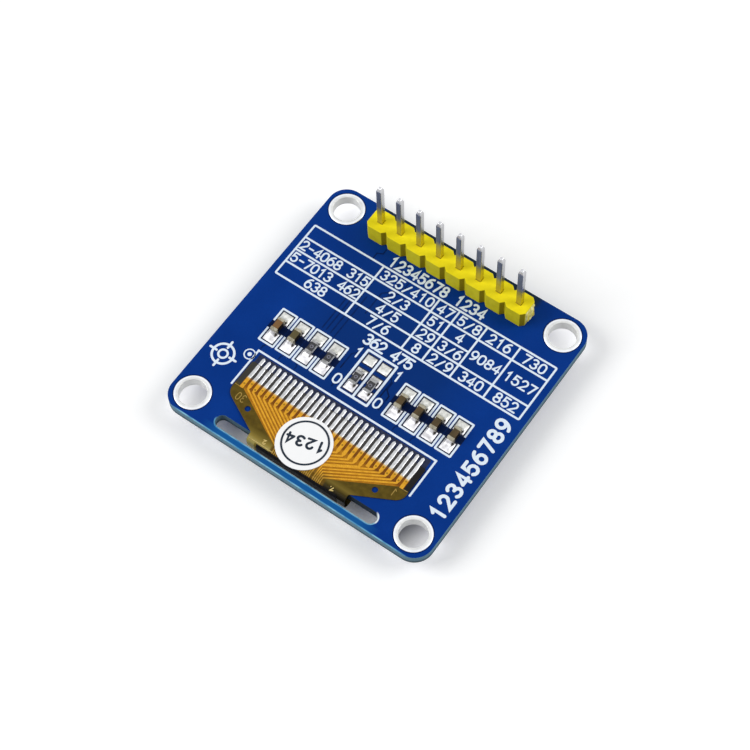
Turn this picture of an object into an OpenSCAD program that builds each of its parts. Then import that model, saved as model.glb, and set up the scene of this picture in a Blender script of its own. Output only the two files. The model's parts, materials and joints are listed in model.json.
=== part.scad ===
// Small display module: a circuit board with a row of header pins, a printed
// table, chip parts and a folded flex cable, which reaches through a slot to
// the glass display that foam tape holds under the board.
// Millimetres. The module lies on its display face: z = 0 is the polarizer's
// face, +Z is the way the header pins point, +X runs along the header and +Y
// points to the header's edge. The origin is under the middle of the board.

/* [Board] */
// Width of the board, along the header
board_w = 33; // [32:0.5:40]
// Depth of the board, across the header
board_h = 32.5; // [31.5:0.5:40]
// Thickness of the board
board_t = 1.2; // [1:0.1:1.6]
// Radius of the board's corners
corner_r = 2.2; // [0.5:0.1:2.4]

/* [Mounting holes] */
// Distance from the two nearest edges to each hole's centre
hole_inset = 2.5; // [2.4:0.1:3]
// Diameter of the open hole, inside its plating
hole_d = 3.1; // [2:0.1:3.3]
// Outer diameter of the tinned ring round a hole
ring_d = 4.05; // [3.8:0.05:4.3]
// Thickness of the tinned ring on the board's faces
ring_t = 0.05; // [0.03:0.01:0.1]
// Wall of the plating inside a hole
plating_t = 0.06; // [0.03:0.01:0.1]

/* [Slot] */
// Length of the slot that the flex cable passes through
slot_w = 20.3; // [14:0.1:22]
// Width of the slot
slot_h = 1.5; // [1.3:0.1:2]
// Strip of board left between the slot and the front edge
slot_edge = 0.8; // [0.6:0.1:1.5]

/* [Header] */
// Number of header pins
pins = 8; // [2:1:8]
// Distance between pins
pin_pitch = 2.54; // [2:0.01:2.7]
// Side of the square pins
pin_w = 0.64; // [0.5:0.01:0.7]
// Free length of a pin above its housing
pin_up = 6.35; // [4:0.05:12]
// Length of a pin below its housing
pin_down = 2.7; // [2.2:0.1:2.9]
// Length of the taper at both ends of a pin
pin_taper = 0.4; // [0.1:0.05:0.8]
// Height of the moulded housing
housing_h = 2.5; // [1.5:0.1:4]
// Width of the moulded housing across the row
housing_w = 2.6; // [2.2:0.05:3]
// Chamfer of each cell of the housing
housing_chamfer = 0.42; // [0.1:0.01:0.6]
// Distance from the board's back edge to the pin row
header_edge = 2.9; // [2.5:0.1:3.5]
// Sideways shift of the pin row from the board's middle
header_shift = -0.13; // [-0.5:0.01:0.5]
// Diameter of a pin's hole in the board
pin_hole_d = 1.05; // [1:0.05:1.2]
// Diameter of a pin's solder pad
pin_pad_d = 1.7; // [1.4:0.05:2]
// Height of the solder cone under the board
solder_h = 0.9; // [0.4:0.1:1]
// Clearance round a pin in its housing
pin_gap = 0.01; // [0.005:0.005:0.03]

/* [Flex cable] */
// Thickness of the flex film
film_t = 0.1; // [0.06:0.01:0.15]
// Length of the film that lies on the board
film_len = 6.9; // [6:0.1:8]
// Film left outside the first and the last finger
film_margin = 0.69; // [0.3:0.01:1]
// Straight side of the film before it narrows
film_side = 4.25; // [3.5:0.05:5]
// Width of the film where it folds
neck_w = 12.4; // [8:0.1:13.5]
// Inside radius of both folds
fold_r = 0.6; // [0.4:0.05:0.75]
// Distance from the slot's far wall to the start of the fold
fold_clear = 0.2; // [0.05:0.05:0.3]
// Radius of the two tooling holes in the film
film_hole_r = 0.33; // [0.2:0.01:0.4]
// Distance from the film's widest sides to the tooling holes
film_hole_in = 2.97; // [2.8:0.01:3.1]
// Distance from the start of the fold to the tooling holes
film_hole_up = 2.1; // [2:0.05:2.2]
// Number of fingers
finger_n = 30; // [20:2:30]
// Distance between fingers
finger_pitch = 0.7; // [0.6:0.01:0.75]
// Width of a finger and of the pad under it
finger_w = 0.42; // [0.3:0.01:0.5]
// Length of a finger that is left bare
finger_len = 1.75; // [1:0.05:2]
// Distance from the film's end to the tips of the board's pads
pad_reach = 0.95; // [0.5:0.05:1]
// Distance from the bare fingers to the turn of the traces
turn_run = 1.2; // [1:0.05:1.4]
// Length of a trace that ends beside its finger
stub_len = 1.45; // [1:0.05:1.6]
// Distance by which the middle traces on the right turn later
long_turn = 0.7; // [0.4:0.05:0.8]
// Thickness of fingers and traces
trace_t = 0.035; // [0.02:0.005:0.05]
// Width of a trace in the fan
trace_w = 0.2; // [0.1:0.01:0.22]
// Distance between traces where the film folds
neck_pitch = 0.222; // [0.15:0.002:0.25]
// Width of a trace where the film folds
neck_trace_w = 0.13; // [0.08:0.01:0.14]
// Thickness of the black coat over the fold
coat_t = 0.04; // [0.02:0.01:0.06]
// Width of the black coat
coat_w = 10.4; // [7:0.1:11]
// Turn of the fold at which the black coat starts, in degrees
coat_start = 48; // [20:1:80]

/* [Label] */
// Width of the ring printed on the label
label_ring_w = 0.17; // [0.1:0.01:0.4]
// Diameter of the round label
label_d = 6.15; // [4:0.05:7]
// Thickness of the round label
label_t = 0.1; // [0.05:0.01:0.2]
// Sideways place of the round label
label_x = -0.86; // [-2:0.01:2]
// Distance from the start of the fold to the label's centre
label_up = 2.1; // [1.5:0.05:3]
// Outer diameter of the printed ring on the label
label_ring_d = 5.1; // [3:0.05:5.6]

/* [Display] */
// Width of the display glass
glass_w = 26.7; // [24:0.1:28]
// Depth of the display glass
glass_h = 19.26; // [17:0.02:20]
// Distance from the fold to the front edge of the display glass
glass_gap = 2.6; // [2:0.1:3.5]
// Thickness of the display glass
glass_t = 0.7; // [0.5:0.05:1]
// Depth of the glass ledge that the cover glass leaves free
ledge_h = 3.86; // [3.5:0.02:4.5]
// Thickness of the cover glass
cap_t = 0.55; // [0.45:0.05:0.8]
// Thickness of the polarizer
polarizer_t = 0.2; // [0.15:0.01:0.3]
// Width of the lit area
view_w = 21.74; // [18:0.02:24]
// Depth of the lit area
view_h = 10.86; // [9:0.02:12]
// Distance from the display glass's back edge to the lit area
view_edge = 2.1; // [2:0.05:2.6]
// Margin of the recess in the cover glass round the lit area
recess_gap = 0.3; // [0.1:0.05:0.5]
// Depth of the recess in the cover glass
recess_t = 0.15; // [0.1:0.01:0.25]
// Thickness of the pixel layer
pixel_t = 0.05; // [0.02:0.01:0.08]
// Margin from the cover glass's edges to the polarizer
polarizer_margin = 0.4; // [0.2:0.05:0.8]
// Length of the flex cable's bond on the glass
bond_l = 1; // [0.8:0.05:1.2]
// Width of the driver die
die_w = 10; // [6:0.5:14]
// Depth of the driver die
die_l = 0.9; // [0.6:0.05:1]
// Thickness of the driver die
die_t = 0.3; // [0.2:0.05:0.5]
// Radius of the sealing bead along the bond
bead_r = 0.35; // [0.2:0.05:0.4]
// Thickness of the foam tape that carries the board
tape_t = 0.3; // [0.2:0.05:0.6]
// Margin from the cover glass's edges to the foam tape
tape_margin = 1; // [0.5:0.1:2]

/* [Chips] */
// Length of a chip part
chip_l = 1.6; // [1.4:0.05:1.8]
// Width of a chip part
chip_w = 0.8; // [0.7:0.05:1]
// Height of a chip capacitor
cap_chip_h = 0.8; // [0.5:0.05:0.9]
// Height of a chip resistor
res_chip_h = 0.45; // [0.3:0.05:0.6]
// Distance between neighbouring chips
chip_pitch = 2.22; // [2.15:0.01:2.4]
// Sideways place of the first chip on each side
chip_first_x = 4.62; // [4.5:0.01:5]
// Distance from the cable's pad tips to the chip row
chip_up = 3.8; // [3.6:0.05:4.2]
// Width of a chip's solder pads
chip_pad_w = 1.3; // [1.1:0.05:1.5]
// Length of a chip's solder pads
chip_pad_l = 1.3; // [1.1:0.05:1.4]
// Gap between the two solder pads of a chip
chip_pad_gap = 1.25; // [1.1:0.05:1.3]
// Length of a chip's metal ends
end_l = 0.3; // [0.2:0.05:0.4]
// Thickness of a chip's metal ends
end_t = 0.02; // [0.01:0.01:0.04]
// Length of a solder fillet
solder_l = 0.9; // [0.6:0.05:0.95]
// Width of a solder fillet beyond the chip's width
solder_more = 0.1; // [0.05:0.05:0.2]
// Distance between the pads of a jumper
jumper_pitch = 1.78; // [1.75:0.01:1.8]
// Width of a jumper's pads
jumper_pad_w = 1.2; // [1:0.05:1.3]
// Length of a jumper's pads
jumper_pad_l = 1.1; // [1:0.05:1.2]
// Distance from the board's middle line to each jumper
jumper_x = 0.92; // [0.9:0.01:1]
// Distance from the chip row to the jumpers' middle
jumper_up = 0.5; // [0.4:0.05:0.6]
// Thickness of every copper pad on the board
pad_t = 0.04; // [0.03:0.01:0.06]

/* [Print] */
// Width of the printed lines
line_w = 0.22; // [0.15:0.01:0.3]
// Thickness of the print
print_t = 0.03; // [0.02:0.01:0.05]
// Width of the printed table
table_w = 31.25; // [29:0.05:31.5]
// Height of a row of the printed table
row_h = 1.81; // [1.5:0.01:1.9]
// Width of the frame round a chip
chip_frame_w = 2.07; // [1.9:0.01:2.1]
// Height of the frame round a chip
chip_frame_h = 4.61; // [4.4:0.01:4.8]
// Gap in the long sides of a chip's frame
chip_frame_gap = 1; // [0.6:0.1:1.6]
// Width of the frame round the jumpers
jumper_frame_w = 3.93; // [3.6:0.01:4]
// Height of the frame round the jumpers
jumper_frame_h = 5.78; // [5.6:0.01:6]
// Width of the lines of the jumpers' frame
jumper_line_w = 0.26; // [0.15:0.01:0.3]
// Gap between the cable's film and its frame
flex_frame_gap = 0.16; // [0.1:0.01:0.2]
// Gap between the pad tips and the cable's frame
flex_frame_up = 0.34; // [0.2:0.01:0.4]
// Length of the sides of the cable's frame below the film's end
flex_frame_down = 3.4; // [2:0.1:3.6]

/* [Hidden] */
$fn = 48;

// Heights, from the polarizer's face up
glass_z = polarizer_t;
ledge_z = glass_z + glass_t;
tape_z = ledge_z + cap_t;
board_z = tape_z + tape_t;
top_z = board_z + board_t;
pad_z = top_z + pad_t;
film_z = pad_z;
trace_z = film_z + film_t;
label_z = trace_z + trace_t;
housing_z = top_z;

// Places on the board, from its front edge back
front_y = -board_h / 2;
slot_y = front_y + slot_edge + slot_h / 2;
fold_y = slot_y + slot_h / 2 - fold_clear;
film_y = fold_y + film_len;
pad_tip_y = film_y + pad_reach;
chip_y = pad_tip_y + chip_up;
header_y = board_h / 2 - header_edge;
hole_x = board_w / 2 - hole_inset;
hole_y = board_h / 2 - hole_inset;

// Flex cable
film_w = (finger_n - 1) * finger_pitch + finger_w + 2 * film_margin;
cover_y = film_y - finger_len;
turn_y = cover_y - turn_run;
stub_y = cover_y - stub_len;
outer_r = fold_r + film_t;
upper_arc_z = film_z - fold_r;
lower_arc_z = ledge_z + film_t + fold_r;
glass_y = fold_y + glass_gap;
coat_end = 150;
diagonal_run = finger_x(finger_n - 2) - neck_x(finger_n - 2);
diagonal_slope = (turn_y - fold_y - trace_w) / diagonal_run;

// Display
cap_h = glass_h - ledge_h;
cap_y = glass_y + glass_h - cap_h / 2;
view_y = glass_y + glass_h - view_edge - view_h / 2;

// Places of the chips: [x, y]
chip_x = [for (i = [0 : 3]) chip_first_x + i * chip_pitch];
capacitor_at = [
    [-chip_x[3], chip_y], [-chip_x[2], chip_y],
    [chip_x[0], chip_y], [chip_x[1], chip_y],
    [chip_x[2], chip_y], [chip_x[3], chip_y]];
jumper_y = chip_y + jumper_up;
resistor_at = [
    [-chip_x[1], chip_y], [-chip_x[0], chip_y],
    [-jumper_x, jumper_y - jumper_pitch / 2 + 0.1], [jumper_x, jumper_y - jumper_pitch / 2 + 0.1]];
chip_pad_y = (chip_pad_gap + chip_pad_l) / 2;

// Printed table, in the middle between the jumpers' frame and the header.
// Its columns share its width in these parts, from the left.
table_y = (jumper_y + jumper_frame_h / 2 + header_y - housing_w / 2) / 2;
column_parts = [9.2, 7.3, 2.6, 3.5, 4.2, 4.45];
columns = [for (part = column_parts) table_w * part / sum(column_parts)];
rows = 4;
merged_from = 4;
table_h = rows * row_h;

ring_places = [[-1, 1], [1, 1], [1, -1], [-1, -1]];

function sum(v, n = undef, i = 0) = i >= (is_undef(n) ? len(v) : n) ? 0 : v[i] + sum(v, n, i + 1);
function pin_x(i) = header_shift + (i - (pins - 1) / 2) * pin_pitch;
function finger_x(k) = (k - (finger_n - 1) / 2) * finger_pitch;
function neck_x(k) = (k - (finger_n - 1) / 2) * neck_pitch;

// Points of a rounded corner at b, between the directions of a and c
function corner(a, b, c, r, n = 8) =
    let (u = unit(a - b), v = unit(c - b))
    let (half = acos(u * v) / 2, m = b + unit(u + v) * r / sin(half))
    let (p = b + u * r / tan(half), q = b + v * r / tan(half))
    [for (i = [0 : n]) m + r * unit((p - m) * (n - i) / n + (q - m) * i / n)];
function unit(v) = v / norm(v);

// Outline of a line with a width at each point, mitred at its turns
function ribbon(path, widths) = concat(
    [for (i = [0 : len(path) - 1]) path[i] + side(path, i) * widths[i] / 2],
    [for (i = [len(path) - 1 : -1 : 0]) path[i] - side(path, i) * widths[i] / 2]);
function side(path, i) =
    let (last = len(path) - 1)
    let (a = unit(path[min(i + 1, last)] - path[min(i, last - 1)]))
    let (b = unit(path[max(i, 1)] - path[max(i - 1, 0)]))
    let (m = unit(a + b))
    [-m[1], m[0]] / (m * a);

module rounded_rect(w, h, r) {
    x = w / 2;
    y = h / 2;
    polygon(concat(
        corner([-x, y], [-x, -y], [x, -y], r),
        corner([-x, -y], [x, -y], [x, y], r),
        corner([x, -y], [x, y], [-x, y], r),
        corner([x, y], [-x, y], [-x, -y], r)));
}

module box(w, h, t) {
    translate([-w / 2, -h / 2, 0]) cube([w, h, t]);
}

// Slot with round ends
module stadium(w, h) {
    square([w - h, h], center = true);
    for (s = [-1, 1]) translate([s * (w - h) / 2, 0]) circle(d = h);
}

module board_outline() {
    square([board_w - 2 * corner_r, board_h], center = true);
    square([board_w, board_h - 2 * corner_r], center = true);
    for (p = ring_places)
        translate([p[0] * (board_w / 2 - corner_r), p[1] * (board_h / 2 - corner_r)])
            circle(r = corner_r);
}

module circuit_board() {
    color([0.05, 0.2, 0.55])
    translate([0, 0, board_z])
    linear_extrude(board_t)
    difference() {
        board_outline();
        for (p = ring_places)
            translate([p[0] * hole_x, p[1] * hole_y]) circle(r = hole_d / 2 + plating_t);
        translate([0, slot_y]) stadium(slot_w, slot_h);
        for (i = [0 : pins - 1]) translate([pin_x(i), header_y]) circle(d = pin_hole_d);
    }
}

// Plated hole: a barrel through the board with a flat ring on each face
module mount_ring(i) {
    p = ring_places[i];
    low = board_z - ring_t;
    high = top_z + ring_t;
    inner = hole_d / 2;
    outer = ring_d / 2;
    barrel = inner + plating_t;
    color([0.88, 0.89, 0.9])
    translate([p[0] * hole_x, p[1] * hole_y, 0])
    rotate_extrude()
    polygon([
        [inner, low], [outer, low], [outer, board_z], [barrel, board_z],
        [barrel, top_z], [outer, top_z], [outer - ring_t, high], [inner, high]]);
}

// One moulded strip of chamfered cells, one cell for each pin
module header_housing() {
    c = housing_chamfer;
    p = pin_pitch / 2;
    w = housing_w / 2;
    front = [for (i = [0 : pins - 1]) each [
        [pin_x(i) - p, c - w], [pin_x(i) - p + c, -w], [pin_x(i) + p - c, -w]]];
    back = [for (i = [pins - 1 : -1 : 0]) each [
        [pin_x(i) + p, w - c], [pin_x(i) + p - c, w], [pin_x(i) - p + c, w]]];
    right_end = [[pin_x(pins - 1) + p, c - w]];
    left_end = [[pin_x(0) - p, w - c]];
    color([0.93, 0.88, 0.1])
    translate([0, header_y, housing_z])
    difference() {
        linear_extrude(housing_h) polygon(concat(front, right_end, back, left_end));
        for (i = [0 : pins - 1])
            translate([pin_x(i), 0, -1]) box(pin_w + 2 * pin_gap, pin_w + 2 * pin_gap, housing_h + 2);
    }
}

module pin_profile() {
    low = housing_z - pin_down;
    high = housing_z + housing_h + pin_up;
    w = pin_w / 2;
    tip = pin_w / 4;
    rotate([90, 0, 0])
    translate([0, 0, -pin_w / 2])
    linear_extrude(pin_w)
    polygon([
        [-tip, low], [tip, low], [w, low + pin_taper], [w, high - pin_taper],
        [tip, high], [-tip, high], [-w, high - pin_taper], [-w, low + pin_taper]]);
}

module header_pin(i) {
    color([0.75, 0.76, 0.78])
    translate([pin_x(i), header_y, 0])
    intersection() {
        pin_profile();
        rotate([0, 0, 90]) pin_profile();
    }
}

module header_pads() {
    color([0.88, 0.89, 0.9])
    for (i = [0 : pins - 1])
        translate([pin_x(i), header_y, board_z - pad_t])
            difference() {
                cylinder(d = pin_pad_d, h = pad_t);
                translate([0, 0, -1]) cylinder(d = pin_hole_d, h = 2);
            }
}

// Solder that fills each pin's hole and wets the pin below the board
module header_solder() {
    root = pin_pad_d / 2 - 0.05;
    neck = pin_w * 0.75;
    low = board_z - pad_t - solder_h;
    color([0.8, 0.81, 0.83])
    for (i = [0 : pins - 1])
        translate([pin_x(i), header_y, 0])
            difference() {
                rotate_extrude()
                polygon(concat(
                    [[0, low], [neck, low]],
                    [for (t = [0.2 : 0.2 : 0.8])
                        [neck + (root - neck) * t * t, low + solder_h * t]],
                    [[root, board_z - pad_t], [pin_hole_d / 2, board_z - pad_t],
                     [pin_hole_d / 2, top_z], [0, top_z]]));
                translate([0, 0, low - 1]) box(pin_w, pin_w, board_t + solder_h + 3);
            }
}

// Printed frame with the middle of its long sides left open
module chip_frame() {
    w = chip_frame_w;
    h = chip_frame_h;
    difference() {
        rounded_rect(w, h, line_w * 0.7);
        square([w - 2 * line_w, h - 2 * line_w], center = true);
        square([w + 1, chip_frame_gap], center = true);
    }
}

module jumper_frame() {
    w = jumper_frame_w;
    h = jumper_frame_h;
    line = jumper_line_w;
    cell = (w - 3 * line) / 2;
    difference() {
        rounded_rect(w, h, line * 0.7);
        for (s = [-1, 1])
            translate([s * (cell + line) / 2, 0]) square([cell, h - 2 * line], center = true);
    }
}

// Table grid: one plate with a hole for each cell
module table_grid() {
    difference() {
        rounded_rect(table_w + line_w, table_h + line_w, line_w);
        for (c = [0 : len(columns) - 1])
            for (r = [0 : rows - 1])
                if (c < merged_from || r != 1) {
                    tall = c >= merged_from && r == 2 ? 2 : 1;
                    left = sum(columns, c) - table_w / 2;
                    bottom = (rows - 1 - r) * row_h - table_h / 2;
                    translate([left + line_w / 2, bottom + line_w / 2])
                        square([columns[c] - line_w, tall * row_h - line_w]);
                }
    }
}

// Open-bottomed frame round the end of the flex cable
module flex_frame() {
    w = film_w + 2 * flex_frame_gap + 2 * line_w;
    top = pad_tip_y + flex_frame_up + line_w;
    h = top - (film_y - flex_frame_down);
    translate([0, top - h / 2])
    difference() {
        rounded_rect(w, h, line_w / 3);
        translate([0, -line_w]) square([w - 2 * line_w, h], center = true);
    }
}

module board_print() {
    color([0.93, 0.95, 0.97])
    translate([0, 0, top_z])
    linear_extrude(print_t) {
        translate([0, table_y]) table_grid();
        for (x = chip_x, s = [-1, 1]) translate([s * x, chip_y]) chip_frame();
        translate([0, jumper_y]) jumper_frame();
        flex_frame();
    }
}

module chip_pads() {
    color([0.88, 0.89, 0.9])
    translate([0, 0, top_z])
    linear_extrude(pad_t) {
        for (x = chip_x, s = [-1, 1], e = [-1, 1])
            translate([s * x, chip_y + e * chip_pad_y])
                rounded_rect(chip_pad_w, chip_pad_l, 0.1);
        for (s = [-1, 1], e = [-1 : 1])
            translate([s * jumper_x, jumper_y + e * jumper_pitch])
                rounded_rect(jumper_pad_w, jumper_pad_l, 0.1);
    }
}

// Concave solder fillets at both ends of a chip of the given height
module chip_fillets(chip_h, w) {
    h = chip_h * 0.75;
    steps = 5;
    for (e = [0, 180])
        rotate([0, 0, e])
        translate([-w / 2, chip_l / 2, pad_z])
        rotate([90, 0, 90])
        linear_extrude(w)
        polygon(concat(
            [[0, 0], [solder_l, 0]],
            [for (i = [1 : steps - 1]) [solder_l * (1 - i / steps), h * pow(i / steps, 2)]],
            [[0, h]]));
}

module chip_solder() {
    color([0.8, 0.81, 0.83]) {
        for (p = capacitor_at) translate(p) chip_fillets(cap_chip_h, chip_w + solder_more);
        for (p = resistor_at) translate(p) chip_fillets(res_chip_h, chip_w + solder_more);
    }
}

module chip_body(p, h) {
    translate([p[0], p[1], pad_z + end_t])
        box(chip_w - 2 * end_t, chip_l - 2 * end_t, h - 2 * end_t);
}

// Metal caps that wrap both ends of a chip's body
module chip_ends(p, h) {
    difference() {
        translate([p[0], p[1], pad_z]) box(chip_w, chip_l, h);
        translate([p[0], p[1], pad_z - 1]) box(chip_w + 1, chip_l - 2 * end_l, h + 2);
        chip_body(p, h);
    }
}

module capacitor(i) {
    color([0.5, 0.4, 0.27]) chip_body(capacitor_at[i], cap_chip_h);
}

module capacitor_ends(i) {
    color([0.8, 0.81, 0.83]) chip_ends(capacitor_at[i], cap_chip_h);
}

module resistor(i) {
    color([0.85, 0.85, 0.83]) chip_body(resistor_at[i], res_chip_h);
}

module resistor_ends(i) {
    color([0.8, 0.81, 0.83]) chip_ends(resistor_at[i], res_chip_h);
}

module resistor_coats() {
    color([0.06, 0.06, 0.07])
    for (p = resistor_at)
        translate([p[0], p[1], pad_z + res_chip_h - end_t])
            box(chip_w - 2 * end_t, chip_l - 2 * end_l, end_t * 1.5);
}

// Part of a fold: a sheet from radius r0 to r1, turned from angle a0 to a1
// about the X axis, 0 pointing up and 90 to the front
module fold_arc(z, r0, r1, a0, a1, w) {
    translate([-w / 2, fold_y, z])
    rotate([a0, 0, 0])
    rotate([0, -90, 180])
    rotate_extrude(angle = a1 - a0)
    translate([r0, 0])
    square([r1 - r0, w]);
}

// Block beside the fold's radius at angle a: s = 1 covers the smaller angles
module fold_cut(z, a, s) {
    size = 2 * fold_r + 1;
    translate([-neck_w / 2 - 1, fold_y, z])
    rotate([a, 0, 0])
    translate([0, s > 0 ? 0 : -size, 0])
    cube([neck_w + 2, size, size]);
}

// Flat part of the film: wide at its fingers, narrowing to the neck
module film_outline() {
    x = film_w / 2;
    n = neck_w / 2;
    narrow_y = film_y - film_side;
    neck_y = fold_y + 0.15;
    right = concat(
        [[n, fold_y]],
        corner([n, fold_y], [n, neck_y], [x, narrow_y], 0.2, 4),
        corner([n, neck_y], [x, narrow_y], [x, film_y], 1.3),
        corner([x, narrow_y], [x, film_y], [0, film_y], 0.2, 4));
    left = [for (i = [len(right) - 1 : -1 : 0]) [-right[i][0], right[i][1]]];
    difference() {
        polygon(concat(right, left));
        for (s = [-1, 1])
            translate([s * (film_w / 2 - film_hole_in), fold_y + film_hole_up]) circle(r = film_hole_r);
    }
}

// Film from its end on the board, down through the slot and back to the glass
module flex_film() {
    rise = upper_arc_z - lower_arc_z;
    color([0.45, 0.34, 0.08, 0.8]) {
        translate([0, 0, film_z]) linear_extrude(film_t) film_outline();
        fold_arc(upper_arc_z, fold_r, outer_r, 0, 90, neck_w);
        translate([0, fold_y - fold_r - film_t / 2, lower_arc_z]) box(neck_w, film_t, rise);
        fold_arc(lower_arc_z, fold_r, outer_r, 90, 180, neck_w);
        translate([0, (fold_y + glass_y + bond_l) / 2, ledge_z])
            box(neck_w, glass_y + bond_l - fold_y, film_t);
    }
}

module flex_fingers() {
    color([0.9, 0.9, 0.9])
    translate([0, 0, trace_z])
    for (k = [0 : finger_n - 1])
        translate([finger_x(k) - finger_w / 2, cover_y, 0]) cube([finger_w, finger_len, trace_t]);
}

// Where trace k leaves its finger: inner traces on the right turn later
function turn_at(k) =
    let (m = finger_n - 1 - k)
    k < finger_n / 2 ? turn_y - 0.015 * k
    : m > 6 && m < 13 ? turn_y - long_turn : turn_y - 0.015 * m;
function neck_top(k) = turn_at(k) - abs(finger_x(k) - neck_x(k)) * diagonal_slope;
function is_stub(k) = k == 0 || k == finger_n - 1 || k == finger_n - 7;

module trace(k) {
    wide = finger_w - 0.02;
    x = finger_x(k);
    n = neck_x(k);
    if (is_stub(k)) {
        translate([x - wide / 2, stub_y, trace_z]) cube([wide, cover_y - stub_y, trace_t]);
    }
    else {
        path = [
            [x, cover_y], [x, turn_at(k) + 0.3], [x, turn_at(k) + 0.1], [x, turn_at(k)],
            [n, neck_top(k)], [n, fold_y]];
        widths = [wide, wide, trace_w * 1.3, trace_w, neck_trace_w, neck_trace_w];
        translate([0, 0, trace_z]) linear_extrude(trace_t) polygon(ribbon(path, widths));
        translate([n, 0, 0])
            fold_arc(upper_arc_z, outer_r, outer_r + trace_t, 0, coat_start, neck_trace_w);
    }
}

module flex_traces() {
    color([0.8, 0.55, 0.1])
    for (k = [0 : finger_n - 1]) trace(k);
}

module flex_pads() {
    low = film_y - finger_len;
    color([0.88, 0.89, 0.9])
    translate([0, 0, top_z])
    linear_extrude(pad_t)
    for (k = [0 : finger_n - 1])
        translate([finger_x(k), 0]) {
            translate([-finger_w / 2, low])
                square([finger_w, pad_tip_y - finger_w / 2 - low]);
            translate([0, pad_tip_y - finger_w / 2]) circle(d = finger_w);
        }
}

// Black coat that follows the film round both folds
module flex_coat() {
    r = outer_r + coat_t;
    rise = upper_arc_z - lower_arc_z;
    color([0.03, 0.03, 0.04])
    difference() {
        union() {
            fold_arc(upper_arc_z, outer_r, r, 0, 90, coat_w);
            translate([0, fold_y - outer_r - coat_t / 2, lower_arc_z]) box(coat_w, coat_t, rise);
            fold_arc(lower_arc_z, outer_r, r, 90, 180, coat_w);
        }
        fold_cut(upper_arc_z, coat_start, 1);
        fold_cut(lower_arc_z, coat_end, -1);
    }
}

module round_label() {
    color([0.97, 0.97, 0.97])
    translate([label_x, fold_y + label_up, label_z]) cylinder(d = label_d, h = label_t, $fn = 96);
}

module label_print() {
    color([0.1, 0.1, 0.12])
    translate([label_x, fold_y + label_up, label_z + label_t])
    difference() {
        cylinder(d = label_ring_d, h = print_t, $fn = 96);
        translate([0, 0, -1]) cylinder(d = label_ring_d - 2 * label_ring_w, h = 2, $fn = 96);
    }
}

module display_glass() {
    color([0.75, 0.8, 0.82, 0.6])
    translate([0, glass_y + glass_h / 2, glass_z]) box(glass_w, glass_h, glass_t);
}

// Cover glass with a shallow recess over the lit area
module display_cap() {
    color([0.6, 0.62, 0.64])
    difference() {
        translate([0, cap_y, ledge_z]) box(glass_w, cap_h, cap_t);
        translate([0, view_y, ledge_z - 1])
            box(view_w + 2 * recess_gap, view_h + 2 * recess_gap, 1 + recess_t);
    }
}

module polarizer() {
    color([0.08, 0.08, 0.1])
    translate([0, cap_y, 0]) linear_extrude(polarizer_t)
        rounded_rect(glass_w - 2 * polarizer_margin, cap_h - 2 * polarizer_margin, 0.3);
}

module pixel_layer() {
    color([0.02, 0.02, 0.03])
    translate([0, view_y, ledge_z]) box(view_w, view_h, pixel_t);
}

module foam_tape() {
    color([0.08, 0.08, 0.08])
    translate([0, cap_y, tape_z]) linear_extrude(tape_t)
        rounded_rect(glass_w - 2 * tape_margin, cap_h - 2 * tape_margin, 0.5);
}

// Driver die on the ledge of the glass, between the flex bond and the cover
module driver_chip() {
    room = ledge_h - bond_l;
    color([0.25, 0.26, 0.3])
    translate([0, glass_y + bond_l + room * 0.6, ledge_z]) box(die_w, die_l, die_t);
}

module edge_resin() {
    color([0.1, 0.1, 0.1])
    translate([-neck_w / 2, glass_y + bond_l, ledge_z])
    rotate([90, 0, 90])
    linear_extrude(neck_w)
    polygon(concat([[0, 0]], [for (a = [0 : 15 : 90]) bead_r * [cos(a), sin(a)]]));
}

circuit_board();
header_housing();
header_pads();
header_solder();
board_print();
chip_pads();
chip_solder();
resistor_coats();
flex_film();
flex_fingers();
flex_traces();
flex_pads();
flex_coat();
round_label();
label_print();
display_glass();
display_cap();
polarizer();
pixel_layer();
foam_tape();
driver_chip();
edge_resin();
for (i = [0 : 3]) mount_ring(i);
for (i = [0 : pins - 1]) header_pin(i);
for (i = [0 : 5]) capacitor(i);
for (i = [0 : 5]) capacitor_ends(i);
for (i = [0 : 3]) resistor(i);
for (i = [0 : 3]) resistor_ends(i);
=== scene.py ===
"""Looks of the small display module: materials, fine forms, print, light and camera.

Lengths are millimetres unless a name or a comment says metres; meshes are made in metres.
"""
import json
import random
from math import atan2, cos, exp, pi, radians, sin

import bmesh
import bpy
from mathutils import Matrix, Vector, noise


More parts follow.
